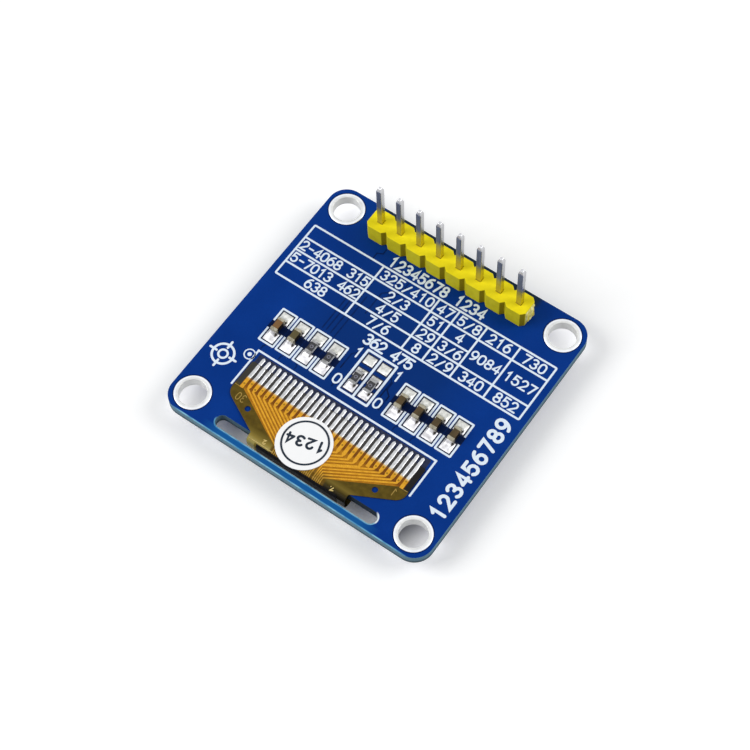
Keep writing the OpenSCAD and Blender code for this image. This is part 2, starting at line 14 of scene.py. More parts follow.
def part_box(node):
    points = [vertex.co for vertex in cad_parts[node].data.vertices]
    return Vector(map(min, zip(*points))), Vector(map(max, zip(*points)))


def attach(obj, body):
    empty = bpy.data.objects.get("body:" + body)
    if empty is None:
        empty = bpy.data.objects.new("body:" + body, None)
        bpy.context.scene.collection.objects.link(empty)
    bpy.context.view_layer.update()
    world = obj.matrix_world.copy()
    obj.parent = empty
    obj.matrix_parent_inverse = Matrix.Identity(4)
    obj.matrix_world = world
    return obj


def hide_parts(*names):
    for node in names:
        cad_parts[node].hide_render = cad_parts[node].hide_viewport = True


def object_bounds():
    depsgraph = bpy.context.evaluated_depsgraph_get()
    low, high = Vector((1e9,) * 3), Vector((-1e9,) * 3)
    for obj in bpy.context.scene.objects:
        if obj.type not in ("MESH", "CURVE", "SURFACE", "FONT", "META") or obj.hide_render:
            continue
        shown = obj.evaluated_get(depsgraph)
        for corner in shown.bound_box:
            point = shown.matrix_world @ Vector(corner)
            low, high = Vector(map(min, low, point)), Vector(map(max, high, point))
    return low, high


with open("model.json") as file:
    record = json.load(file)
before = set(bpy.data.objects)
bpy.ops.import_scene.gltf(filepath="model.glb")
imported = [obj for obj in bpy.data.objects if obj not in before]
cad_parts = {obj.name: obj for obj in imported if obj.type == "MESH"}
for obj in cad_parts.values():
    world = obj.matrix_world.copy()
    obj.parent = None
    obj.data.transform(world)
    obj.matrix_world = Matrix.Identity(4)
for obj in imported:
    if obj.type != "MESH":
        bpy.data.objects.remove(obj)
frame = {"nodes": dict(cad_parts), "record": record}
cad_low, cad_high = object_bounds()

MM = 0.001  # metres
SINK = 0.01  # how deep print and marks reach into what carries them
SLOT_Y = -14.7  # middle line of the board's slot
SLOT_END = 9.4  # x where the slot's round ends begin
TILT = 0.0095  # the cover film's edge lies askew: its rise for each millimetre of x
PAD_RISE = 0.115  # solder over the board's pads under the cable's fingers

scene = bpy.context.scene
slots = {row["node"]: row["material_slot"] for row in frame["record"]["subparts"]}
looks = {}


def box(node):
    low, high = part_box(node)
    return low / MM, high / MM


def middle(node):
    low, high = box(node)
    return (low + high) / 2


board_low, board_high = box("circuit_board")
film_low, film_high = box("flex_film")
finger_low, finger_high = box("flex_fingers")
label_low, label_high = box("round_label")
housing_low, housing_high = box("header_housing")
pin_tip = cad_high[2] / MM
top = board_high.z
bottom = board_low.z


# ---------------------------------------------------------------- camera
def make_camera():
    turn, lift, roll = radians(38.1737), radians(61.9349), radians(-3.1867)
    distance = 195.1693
    target = Vector((0.4482, -1.2894, top)) * MM
    back = Vector((sin(turn) * cos(lift), -cos(turn) * cos(lift), sin(lift)))
    x = Vector((0, 0, 1)).cross(back).normalized()
    y = back.cross(x)
    x, y = cos(roll) * x + sin(roll) * y, cos(roll) * y - sin(roll) * x
    data = bpy.data.cameras.new("camera")
    data.sensor_width = 36
    data.lens = 89.7656
    data.clip_start, data.clip_end = 0.005, 5
    camera = bpy.data.objects.new("camera", data)
    scene.collection.objects.link(camera)
    turned = Matrix((x, y, back)).transposed().to_4x4()
    camera.matrix_world = Matrix.Translation(target + back * distance * MM) @ turned
    scene.camera = camera


# ---------------------------------------------------------------- materials
class Look:
    """A procedural material, kept in looks under its name, made from a Principled BSDF."""

    def __init__(self, name, rough=0.5, metal=0.0, **sockets):
        material = bpy.data.materials.new("look_" + name)
        material.use_nodes = True
        self.tree = material.node_tree
        self.bsdf = self.tree.nodes["Principled BSDF"]
        self.bsdf.inputs["Roughness"].default_value = rough
        self.bsdf.inputs["Metallic"].default_value = metal
        for socket, value in sockets.items():
            self.bsdf.inputs[socket.replace("_", " ")].default_value = value
        where = self.add("ShaderNodeTexCoord").outputs["Object"]
        self.place = self.vector("MULTIPLY", where, (1 / MM,) * 3)
        self.relief = None
        looks[name] = material

    def add(self, kind, *inputs, **settings):
        node = self.tree.nodes.new(kind)
        for name, value in settings.items():
            setattr(node, name, value)
        for i, value in enumerate(inputs):
            if isinstance(value, bpy.types.NodeSocket):
                self.tree.links.new(value, node.inputs[i])
            else:
                node.inputs[i].default_value = value
        return node

    def link(self, socket, name):
        self.tree.links.new(socket, self.bsdf.inputs[name])

    def vector(self, operation, a, b):
        return self.add("ShaderNodeVectorMath", a, b, operation=operation).outputs[0]

    def math(self, operation, a, b=0.0):
        return self.add("ShaderNodeMath", a, b, operation=operation).outputs[0]

    def times(self, first, *others):
        for other in others:
            first = self.math("MULTIPLY", first, other)
        return first

    def apart(self, a, b=0.0):
        """How far a lies from b, whichever side."""
        return self.math("ABSOLUTE", self.math("SUBTRACT", a, b) if b else a)

    def length(self, a, b):
        return self.math("SQRT", self.math("ADD", self.times(a, a), self.times(b, b)))

    def xyz(self):
        """Place in millimetres."""
        return self.add("ShaderNodeSeparateXYZ", self.place).outputs

    def normal(self):
        socket = self.add("ShaderNodeNewGeometry").outputs["Normal"]
        return self.add("ShaderNodeSeparateXYZ", socket).outputs

    def noise(self, scale, detail=2.0, stretch=(1, 1, 1)):
        node = self.add("ShaderNodeTexNoise", self.vector("MULTIPLY", self.place, stretch))
        node.inputs["Scale"].default_value = scale
        node.inputs["Detail"].default_value = detail
        return node.outputs["Fac"]

    def wave(self, scale, direction, bend):
        node = self.add("ShaderNodeTexWave", self.place, bands_direction=direction)
        node.inputs["Scale"].default_value = scale
        node.inputs["Distortion"].default_value = bend
        return node.outputs["Fac"]

    def ramp(self, fac, *stops):
        node = self.add("ShaderNodeValToRGB", fac)
        marks = node.color_ramp.elements
        while len(marks) < len(stops):
            marks.new(0.5)
        for mark, (where, colour) in zip(marks, stops):
            mark.position = where
            mark.color = (*colour, 1)
        return node.outputs["Color"]

    def between(self, fac, low, high):
        """One colour where a noise is low, the other where it is high."""
        return self.ramp(fac, (0.3, low), (0.7, high))

    def mix(self, fac, a, b):
        node = self.add("ShaderNodeMix", fac, data_type="RGBA")
        for name, value in (("A", a), ("B", b)):
            socket = [s for s in node.inputs if s.name == name and s.type == "RGBA"][0]
            if isinstance(value, bpy.types.NodeSocket):
                self.tree.links.new(value, socket)
            else:
                socket.default_value = (*value, 1)
        return [s for s in node.outputs if s.type == "RGBA"][0]

    def span(self, fac, low, high, to_low=0.0, to_high=1.0):
        return self.add("ShaderNodeMapRange", fac, low, high, to_low, to_high).outputs[0]

    def bump(self, height, depth):
        """depth: millimetres between the lowest and the highest point."""
        node = self.add("ShaderNodeBump")
        node.inputs["Strength"].default_value = 1.0
        node.inputs["Distance"].default_value = depth * MM
        self.tree.links.new(height, node.inputs["Height"])
        if self.relief:
            self.tree.links.new(self.relief, node.inputs["Normal"])
        self.relief = node.outputs["Normal"]
        self.link(self.relief, "Normal")

    def finish(self, colour, wear_and_sheen, rough, height=None, depth=0.0):
        """Base colour, roughness between two values where the noise worn says, and relief."""
        self.link(colour, "Base Color")
        self.link(self.span(wear_and_sheen, 0.3, 0.7, *rough), "Roughness")
        if depth:
            self.bump(height, depth)


def plain_look(name, low, high, grain, rough, depth, stretch=(1, 1, 1), **sockets):
    """Two colours mixed by noise, roughness between the two in rough, and fine relief."""
    made = Look(name, **sockets)
    colour = made.between(made.noise(grain, 3, stretch), low, high)
    wear_and_sheen = made.noise(grain * 1.7, 3, stretch)
    made.finish(colour, wear_and_sheen, rough, made.noise(grain * 3, 2, stretch), depth)


def board_look():
    """Blue solder mask on the board's faces, bare laminate on its edges and in its slot; painted
    highlights on its rims and slot end, painted shade in its middle, in its slot and behind the
    header.
    """
    made = Look("board_mask", IOR=1.5, Specular_IOR_Level=0.03)
    x, y, z = made.xyz()
    nz = made.normal()[2]
    up = made.apart(nz)
    face = made.span(up, 0.90, 0.97)

    blue = made.between(made.noise(0.22, 3), (0.0024, 0.033, 0.218), (0.0034, 0.041, 0.260))
    fine = made.span(made.noise(6, 4), 0.45, 0.8, 0, 0.35)
    blue = made.mix(fine, blue, (0.0020, 0.028, 0.180))
    # painted shade: the middle of the board, among the print and the chips, is darker
    centre_shade = made.times(made.span(made.apart(x), 12, 6), made.span(made.apart(y, -0.5), 11, 6), 0.7)
    blue = made.mix(centre_shade, blue, (0.0035, 0.029, 0.155))
    front = board_low.y
    strip = made.times(
        made.span(y, front + 0.98, front + 0.78),
        made.span(made.apart(x), SLOT_END + 1.8, SLOT_END - 0.6),
    )
    blue = made.mix(strip, blue, (0.008, 0.100, 0.32))
    past_end = made.math("MAXIMUM", made.math("SUBTRACT", made.apart(x), SLOT_END), 0.0)
    away = made.length(past_end, made.math("SUBTRACT", y, SLOT_Y))
    # painted highlight: light cyan lines along the slot's front rim and the board's front edge
    slot_rim_highlight = made.times(made.span(away, 0.90, 0.84), made.span(y, -14.5, -14.9))
    front_rim_highlight = made.times(
        made.span(y, front + 0.16, front + 0.11), made.span(made.apart(x), 15.5, 13.5)
    )
    wear_and_sheen = made.span(made.noise(0.9, 3), 0.35, 0.65)
    wear_and_sheen = made.mix(wear_and_sheen, (0.07, 0.27, 0.47), (0.22, 0.50, 0.66))
    blue = made.mix(made.math("MAXIMUM", slot_rim_highlight, front_rim_highlight), blue, wear_and_sheen)
    glint = made.times(
        made.span(away, 0.92, 0.86), made.span(x, 9.6, 9.9), made.span(y, -15.1, -14.9)
    )
    blue = made.mix(glint, blue, (0.80, 0.88, 0.92))

    layers = made.wave(2.6, "Z", 2.0)
    edge = made.ramp(layers, (0.1, (0.070, 0.140, 0.200)), (0.9, (0.145, 0.255, 0.325)))
    edge = made.mix(made.span(made.noise(9, 3), 0.35, 0.7, 0, 0.5), edge, (0.20, 0.31, 0.36))
    edge = made.mix(made.span(z, bottom + 0.25, bottom + 0.6), (0.060, 0.095, 0.115), edge)
    # painted shade: the slot's walls darker towards the right
    wall = made.span(away, 1.2, 1.1)
    edge = made.mix(made.times(wall, made.span(x, 2, 6, 0, 0.6)), edge, (0.020, 0.030, 0.045))
    # painted highlight: the rounded rims between the faces and the edges light cyan
    rim = made.span(made.noise(0.6, 3), 0.35, 0.7)
    rim = made.mix(rim, (0.13, 0.36, 0.56), (0.25, 0.56, 0.78))
    edge = made.mix(made.span(up, 0.1, 0.3), edge, rim)
    # painted shade: the slot's back wall darkest near the fold
    far_wall_shade = made.times(wall, made.span(y, -14.4, -14.2), made.span(x, -2, 4, 0.4, 0.85))
    edge = made.mix(far_wall_shade, edge, (0.016, 0.024, 0.040))
    edge = made.mix(glint, edge, (0.80, 0.88, 0.92))
    colour = made.mix(face, edge, blue)

    behind = made.times(
        made.span(y, housing_high.y + 0.2, housing_high.y + 0.5),
        made.span(nz, 0.1, 0.3),
        made.span(x, housing_low.x - 0.5, housing_low.x + 0.3),
        made.span(x, housing_high.x + 0.1, housing_high.x - 0.5),
    )
    shaded = made.mix(face, (0.13, 0.17, 0.15), (0.012, 0.029, 0.062))
    made.link(made.mix(behind, colour, shaded), "Base Color")
    made.link(made.span(face, 0, 1, 0.6, 0.27), "Roughness")
    made.bump(made.noise(1.1, 2), 0.003)
    weave = made.math("ADD", made.wave(0.62, "X", 0.6), made.wave(0.62, "Y", 0.6))
    made.bump(weave, 0.0008)


def mask_looks():
    """Mask off the copper, darkest between the chips' pads as painted shadow, and the board left
    bare.
    """
    made = Look("mask_shade", IOR=1.5, Specular_IOR_Level=0.03)
    gap = made.between(made.noise(2, 3), (0.002, 0.014, 0.080), (0.003, 0.021, 0.125))
    # painted shadow: darkest in the row of the chips
    chips = made.span(made.apart(made.xyz()[1], middle("capacitor_1").y), 0.65, 0.5, 0, 0.6)
    colour = made.mix(chips, gap, (0.003, 0.007, 0.026))
    made.finish(colour, made.noise(3, 2), (0.25, 0.35), made.noise(1.1, 2), 0.004)
    made = Look("bare_board", IOR=1.5, Specular_IOR_Level=0.05)
    colour = made.between(made.noise(3, 3), (0.019, 0.024, 0.050), (0.034, 0.042, 0.085))
    made.finish(colour, made.noise(5, 2), (0.4, 0.6), made.noise(9, 2), 0.004)


def tin_look():
    """Tin: round the corner holes it is whiter along the outer rim than inside."""
    made = Look("tinned_copper", metal=1.0)
    x, y, z = made.xyz()
    low, high = box("mount_ring_1")
    at = middle("mount_ring_1")
    outer = (high.x - low.x) / 2
    r = made.length(
        made.math("SUBTRACT", made.apart(x), abs(at.x)),
        made.math("SUBTRACT", made.apart(y), abs(at.y)),
    )
    fac = made.noise(1.6, 3)
    plain = made.ramp(fac, (0.3, (0.66, 0.66, 0.65)), (0.6, (0.78, 0.78, 0.76)))
    white = made.ramp(fac, (0.3, (0.82, 0.83, 0.86)), (0.6, (0.90, 0.91, 0.94)))
    wall = made.span(made.apart(made.normal()[2]), 0.5, 0.2)
    colour = made.mix(made.span(r, outer - 0.30, outer - 0.16), plain, white)
    colour = made.mix(wall, colour, (0.90, 0.90, 0.89))
    made.link(made.span(wall, 0, 1, 1, 0.25), "Metallic")
    made.finish(colour, made.noise(3.3, 2), (0.28, 0.42), made.noise(2.1, 2), 0.012)


def solder_looks():
    """Solder: on the pads dull above the chips, with painted shade where its sides slope steeply to
    the right and front; on the fingers.
    """
    made = Look("solder", metal=1.0)
    x, y, z = made.xyz()
    shiny = made.noise(1.3, 3)
    shiny = made.ramp(shiny, (0.34, (0.50, 0.49, 0.50)), (0.56, (0.80, 0.79, 0.81)))
    dull = made.between(made.noise(2.6, 3), (0.50, 0.50, 0.47), (0.80, 0.80, 0.77))
    chips = middle("capacitor_1").y
    colour = made.mix(made.span(y, chips + 0.7, chips + 0.9), shiny, dull)
    nx, ny, nz = made.normal()
    # painted shade: the steep sides turned to the right and front dark
    side = made.math("SUBTRACT", made.times(nx, 0.85), made.times(ny, 0.5))
    steep_side_shade = made.times(made.span(side, 0.30, 0.62), made.span(z, top + 0.10, top + 0.17))
    colour = made.mix(steep_side_shade, colour, (0.07, 0.06, 0.05))
    made.finish(colour, made.noise(2.7, 2), (0.45, 0.60), made.noise(1.7, 2), 0.02)
    made = Look("finger_tin", metal=1.0)
    colour = made.ramp(made.noise(1.5, 3), (0.3, (0.50,) * 3), (0.6, (0.70, 0.70, 0.714)))
    made.finish(colour, made.noise(3.15, 2), (0.3, 0.45), made.noise(1.95, 2), 0.012)


def pin_look():
    """Square pins with drawn lines: the faces turned to the front and back painted dark as shade, the
    other two light, and a painted yellow reflection of the housing at the foot.
    """
    made = Look("pin_metal", metal=1.0)
    z = made.xyz()[2]
    nx, ny, nz = made.normal()
    lines = made.noise(14, 3, (1, 1, 0.03))
    # painted shade: the faces turned to the front and back dark, the side faces light; it stops short
    # of the tip
    front_back_shade = made.span(made.apart(ny), 0.5, 0.85)
    smooth = made.between(lines, (0.64, 0.64, 0.66), (0.72, 0.72, 0.74))
    dull = made.between(lines, (0.13, 0.145, 0.19), (0.20, 0.22, 0.27))
    below_tip = made.span(z, pin_tip - 0.35, pin_tip - 0.55)
    dull = made.mix(below_tip, (0.62, 0.62, 0.63), dull)
    colour = made.mix(front_back_shade, smooth, dull)
    # painted reflection: the yellow housing seen in the pins near their foot
    foot = made.times(
        made.span(z, housing_high.z + 3.1, housing_high.z + 2.3),
        made.span(z, housing_high.z - 0.3, housing_high.z),
        made.math("MAXIMUM", made.span(nx, 0.3, 0.6), made.span(ny, -0.3, -0.6)),
    )
    housing_reflection = made.mix(front_back_shade, (0.66, 0.57, 0.13), (0.52, 0.43, 0.06))
    colour = made.mix(foot, colour, housing_reflection)
    made.link(made.span(made.times(front_back_shade, below_tip), 0, 1, 1, 0.45), "Metallic")
    made.finish(colour, lines, (0.18, 0.26))


def plastic_look():
    """Moulded nylon: painted light on top, painted shade on the faces and darker painted shade on the
    chamfers turned to the front.
    """
    made = Look("yellow_plastic", Specular_IOR_Level=0.06)
    nx, ny, nz = made.normal()
    fac = made.noise(1.2, 3)
    # painted light and shade: bright on top, darker on the sides
    bright = made.between(fac, (0.86, 0.715, 0.011), (0.93, 0.785, 0.016))
    side = made.between(fac, (0.60, 0.52, 0.013), (0.68, 0.60, 0.018))
    colour = made.mix(made.span(nz, 0.25, 0.8), side, bright)
    # painted shade: the chamfers turned to the front right darkest
    slant = made.times(made.span(nx, 0.3, 0.6), made.span(ny, -0.3, -0.6))
    colour = made.mix(slant, colour, (0.33, 0.255, 0.004))
    made.finish(colour, made.noise(2, 3), (0.38, 0.5), made.noise(3.6, 2), 0.006)


def coat_look():
    """Black coat over the fold, dark also as painted shade deep in the slot: it thins out to bare
    film at its left end.
    """
    made = Look("black_coat", Specular_IOR_Level=0.08)
    fine = made.noise(4, 3)
    # dark both as black coat and as painted shade in the slot
    black = made.between(fine, (0.006, 0.006, 0.008), (0.014, 0.013, 0.015))
    ragged = made.math("ADD", made.xyz()[0], made.times(fine, 0.15))
    end = box("flex_coat")[0].x
    thin = made.span(ragged, end + 0.36, end + 0.28)
    colour = made.mix(thin, black, (0.22, 0.165, 0.032))
    made.finish(colour, made.noise(6.8, 3), (0.45, 0.6), made.noise(12, 2), 0.01)


def ceramic_look():
    """Chip capacitors' brown ceramic: redder at the first, olive at the second, with painted shade on
    the faces turned to +x.
    """
    made = Look("capacitor_ceramic", Specular_IOR_Level=0.15)
    x = made.xyz()[0]
    colour = made.between(made.noise(0.8, 3), (0.055, 0.043, 0.020), (0.115, 0.074, 0.034))
    for chip, tone in ((1, (0.20, 0.105, 0.040)), (2, (0.105, 0.086, 0.036))):
        near = made.span(made.apart(x, middle(f"capacitor_{chip}").x), 1.2, 0.9)
        colour = made.mix(near, colour, tone)
    # painted shade: the faces turned to +x dark
    colour = made.mix(made.span(made.normal()[0], 0.5, 0.8), colour, (0.014, 0.011, 0.007))
    made.finish(colour, made.noise(1.4, 3), (0.3, 0.45), made.noise(2.4, 2), 0.012)


def film_looks():
    """Amber film: olive over the board, near black between its bare fingers, with painted light and
    shade in its fold.
    """
    made = Look("flex_film", IOR=1.6, Specular_IOR_Level=0.05)
    x, y, z = made.xyz()
    fine = made.noise(1.6, 3)
    colour = made.between(fine, (0.080, 0.053, 0.0075), (0.125, 0.083, 0.011))
    askew = made.math("ADD", y, made.times(x, TILT))
    cover_edge = finger_low.y - 1.35
    bare = made.span(askew, cover_edge - 0.12, cover_edge + 0.25)
    colour = made.mix(bare, colour, (0.046, 0.044, 0.036))
    right = made.times(bare, made.span(x, 9.9, 10.1))
    colour = made.mix(right, colour, (0.017, 0.016, 0.016))
    # painted light and shade in the fold: light through the clear film low down on the left, dark
    # under the coat
    back = made.span(y, -14.7, -13.3)
    flat = (1, (0.10, 0.068, 0.009))
    clear = (0, (0.42, 0.35, 0.11)), (0.33, (0.26, 0.19, 0.040)), (0.63, (0.16, 0.115, 0.020))
    coated = (0, (0.012, 0.010, 0.006)), (0.28, (0.05, 0.035, 0.006)), (0.60, (0.17, 0.12, 0.022))
    clear, coated = made.ramp(back, *clear, flat), made.ramp(back, *coated, flat)
    fold = made.mix(made.span(x, -0.5, 0.5), clear, coated)
    colour = made.mix(made.span(y, -13.2, -13.5), colour, fold)
    neck = made.times(made.span(made.apart(x), 3.5, 3.3), made.span(y, -13.9, -14.05))
    colour = made.mix(neck, colour, (0.13, 0.070, 0.007))
    made.finish(colour, fine, (0.2, 0.32), made.noise(0.8, 2), 0.01)

    made = Look("film_ground", IOR=1.6, Specular_IOR_Level=0.12)
    x, y, z = made.xyz()
    askew = made.math("ADD", y, made.times(x, TILT))
    fine = made.noise(2.5, 3)
    brown = made.between(fine, (0.34, 0.130, 0.004), (0.46, 0.195, 0.008))
    brown = made.mix(made.span(askew, -12.9, -13.7), brown, (0.19, 0.095, 0.008))
    slits = made.between(fine, (0.15, 0.045, 0.0015), (0.24, 0.080, 0.003))
    turn = finger_low.y - 1.25
    colour = made.mix(made.span(askew, turn - 0.2, turn + 0.1), brown, slits)
    bare = made.span(askew, finger_low.y - 0.26, finger_low.y - 0.04)
    colour = made.mix(bare, colour, (0.050, 0.047, 0.046))
    made.finish(colour, fine, (0.2, 0.32), made.noise(5, 2), 0.003)


def trace_looks():
    """Copper under the amber cover film, and the marks and dots in the film."""
    made = Look("covered_copper", metal=0.2, Specular_IOR_Level=0.2)
    x, y, z = made.xyz()
    gold = made.between(made.noise(2.2, 4), (0.64, 0.292, 0.013), (0.84, 0.425, 0.027))
    gold = made.mix(made.span(y, -13.4, -14.2), gold, (0.36, 0.20, 0.022))
    askew = made.math("ADD", y, made.times(x, TILT))
    tin = made.span(askew, finger_low.y - 0.36, finger_low.y - 0.13)
    colour = made.mix(tin, gold, (0.74, 0.60, 0.34))
    made.finish(colour, made.noise(8, 2), (0.22, 0.38), made.noise(5, 2), 0.004)
    for name, metal, grain, low, high in (
        ("film_mark", 0.2, 3, (0.30, 0.19, 0.035), (0.46, 0.31, 0.075)),
        ("fold_mark", 0.2, 3, (0.60, 0.42, 0.11), (0.78, 0.62, 0.25)),
        ("film_dot", 0.0, 4, (0.30, 0.15, 0.008), (0.42, 0.22, 0.014)),
    ):
        made = Look(name, metal=metal, Specular_IOR_Level=0.2)
        colour = made.between(made.noise(grain, 3), low, high)
        made.finish(colour, made.noise(8, 2), (0.22, 0.38), made.noise(6, 2), 0.003)


def glass_look():
    made = Look("display_glass", rough=0.04, IOR=1.5, Transmission_Weight=1.0)
    colour = made.between(made.noise(0.35, 2), (0.86, 0.92, 0.90), (0.92, 0.96, 0.95))
    made.link(colour, "Base Color")
    made.bump(made.noise(0.5, 2), 0.002)


def plain_looks():
    soft = {"Specular_IOR_Level": 0.1}
    torn = {"Specular_IOR_Level": 0.06, "stretch": (1, 1, 0.4)}
    for name, low, high, grain, rough, depth, more in (
        ("torn_plastic", (0.66, 0.53, 0.02), (0.94, 0.90, 0.42), 2.6, (0.45, 0.6), 0.02, torn),
        ("cap_tin", (0.26, 0.235, 0.16), (0.52, 0.48, 0.37), 1.6, (0.3, 0.45), 0.012, {"metal": 0.5}),
        ("end_tin", (0.24, 0.24, 0.24), (0.50, 0.50, 0.50), 2.4, (0.3, 0.45), 0.012, {"metal": 0.8}),
        ("grey_print", (0.13, 0.13, 0.17), (0.22, 0.22, 0.27), 6, (0.5, 0.65), 0.004, {}),
        ("white_print", (0.72, 0.82, 0.93), (0.80, 0.89, 0.975), 3, (0.5, 0.65), 0.008, {}),
        ("resistor_coat", (0.012, 0.012, 0.014), (0.030, 0.030, 0.033), 5, (0.3, 0.45), 0.004, {}),
        ("label_paper", (0.965, 0.97, 0.97), (0.985, 0.985, 0.985), 2, (0.55, 0.7), 0.004, soft),
        ("label_ink", (0.012, 0.020, 0.034), (0.030, 0.042, 0.062), 6, (0.4, 0.55), 0.004, soft),
        ("cover_glass", (0.16, 0.17, 0.18), (0.24, 0.25, 0.26), 0.5, (0.12, 0.22), 0.004,
         {"metal": 0.6}),
        ("polarizer", (0.010, 0.011, 0.016), (0.016, 0.017, 0.024), 0.3, (0.06, 0.12), 0.001, {}),
        ("pixel_layer", (0.020, 0.022, 0.035), (0.040, 0.044, 0.060), 0.8, (0.15, 0.25), 0.004, {}),
        ("foam_tape", (0.60, 0.61, 0.60), (0.76, 0.77, 0.75), 7, (0.75, 0.9), 0.04, {}),
        ("silicon", (0.05, 0.055, 0.065), (0.09, 0.095, 0.11), 0.9, (0.12, 0.2), 0.004,
         {"metal": 0.5}),
        ("resin", (0.006, 0.006, 0.007), (0.02, 0.02, 0.022), 1.5, (0.1, 0.25), 0.03, {}),
        ("alumina", (0.55, 0.56, 0.58), (0.72, 0.73, 0.74), 4, (0.45, 0.6), 0.01, {}),
    ):
        plain_look(name, low, high, grain, rough, depth, **more)


# ---------------------------------------------------------------- meshes
def finish_mesh(name, bm, slot, smooth=35, replaces=(), look=None):
    """A piece from bm, smooth up to an angle, in the look named or in its slot's look."""
    bmesh.ops.recalc_face_normals(bm, faces=bm.faces)
    mesh = bpy.data.meshes.new(name)
    bm.to_mesh(mesh)
    bm.free()
    mesh.transform(Matrix.Scale(MM, 4))
    for face in mesh.polygons:
        face.use_smooth = bool(smooth)
    if smooth:
        mesh.set_sharp_from_angle(angle=radians(smooth))
    piece = bpy.data.objects.new(name, mesh)
    scene.collection.objects.link(piece)
    mesh.materials.append(looks[look or slot])
    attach(piece, "root")
    if replaces:
        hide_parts(*replaces)
    return piece


def flatten_normals(mesh, angle):
    """Corner normals weighted by area, so that a flat face keeps its look beside a rounded edge."""
    limit = cos(radians(angle))
    faces = [(f.normal.copy(), f.area / MM**2, list(f.vertices)) for f in mesh.polygons]
    around = [[] for v in mesh.vertices]
    for normal, area, corners in faces:
        for v in corners:
            around[v].append((normal, area))
    normals = []
    for normal, area, corners in faces:
        for v in corners:
            total = Vector()
            for other, size in around[v]:
                if other.dot(normal) > limit:
                    total += other * size
            normals.append(total.normalized() if total.length > 0 else normal)
    mesh.normals_split_custom_set(normals)


def rounded_copy(node, name, width, segments=2, angle=30, shape=None, look=None):
    """The CAD node's own form with rounded edges, as a piece that replaces it."""
    bm = bmesh.new()
    bm.from_mesh(frame["nodes"][node].data)
    bmesh.ops.scale(bm, vec=(1 / MM,) * 3, verts=bm.verts)
    bmesh.ops.remove_doubles(bm, verts=bm.verts, dist=0.0005)
    bmesh.ops.dissolve_limit(bm, angle_limit=radians(1), verts=bm.verts, edges=bm.edges)
    if shape:
        shape(bm)
    sharp = radians(angle)
    edges = [e for e in bm.edges if len(e.link_faces) == 2 and e.calc_face_angle(0) > sharp]
    bmesh.ops.bevel(
        bm, geom=edges, offset=width, segments=segments, profile=0.5, affect="EDGES",
        clamp_overlap=True, loop_slide=True,
    )
    piece = finish_mesh(name, bm, slots[node], 40, [node], look)
    flatten_normals(piece.data, 50)


def prism(bm, outline, low, high):
    """A closed plate from an outline of [x, y] points."""
    lows = [bm.verts.new((x, y, low)) for x, y in outline]
    highs = [bm.verts.new((x, y, high)) for x, y in outline]
    bm.faces.new(highs)
    bm.faces.new(lows[::-1])
    n = len(outline)
    for i in range(n):
        j = (i + 1) % n
        bm.faces.new((lows[i], lows[j], highs[j], highs[i]))


def band(bm, outer, inner, low, high):
    """A closed ring plate between two outlines with as many points."""
    n = len(outer)
    rings = [
        [bm.verts.new((x, y, z)) for x, y in line]
        for line, z in ((outer, low), (outer, high), (inner, high), (inner, low))
    ]
    for a in range(4):
        b = (a + 1) % 4
        for i in range(n):
            j = (i + 1) % n
            bm.faces.new((rings[a][i], rings[a][j], rings[b][j], rings[b][i]))


def arc(cx, cy, rx, ry, a, b, n=10):
    """Points from angle a to angle b, in degrees."""
    turns = [radians(a + (b - a) * i / n) for i in range(n + 1)]
    return [(cx + rx * cos(t), cy + ry * sin(t)) for t in turns]


def circle(x, y, r, n=32):
    return [(x + r * cos(2 * pi * i / n), y + r * sin(2 * pi * i / n)) for i in range(n)]


def ring(bm, x, y, outer, inner, low, high, n):
    band(bm, circle(x, y, outer, n), circle(x, y, inner, n), low, high)


def rounded_plate(bm, x0, y0, x1, y1, r, low, high):
    """A plate with round corners."""
    points = []
    for x, y, a in (
        (x1 - r, y0 + r, -90), (x1 - r, y1 - r, 0), (x0 + r, y1 - r, 90), (x0 + r, y0 + r, 180)
    ):
        points += arc(x, y, r, r, a, a + 90, 4)
    prism(bm, points, low, high)


def stroke(bm, points, width, low, high, closed=False):
    """A closed plate along a line, with round ends."""
    points = [Vector(p) for p in points]
    n = len(points)
    left, right = [], []
    for i, p in enumerate(points):
        into = (p - points[i - 1]).normalized() if closed or i else None
        out = (points[(i + 1) % n] - p).normalized() if closed or i < n - 1 else None
        into, out = into or out, out or into
        m = (into + out).normalized()
        side = Vector((-m.y, m.x)) * (width / 2) / max(m.dot(into), 0.45)
        left.append(p + side)
        right.append(p - side)
    if closed:
        band(bm, right, left, low, high)
        return
    outline = right
    for tip, before, after in ((points[-1], points[-2], left[::-1]), (points[0], points[1], [])):
        d = tip - before
        base = atan2(d.y, d.x) - pi / 2
        for i in range(1, 6):
            turn = base + pi * i / 6
            outline.append(tip + Vector((cos(turn), sin(turn))) * width / 2)
        outline += after
    prism(bm, outline, low, high)


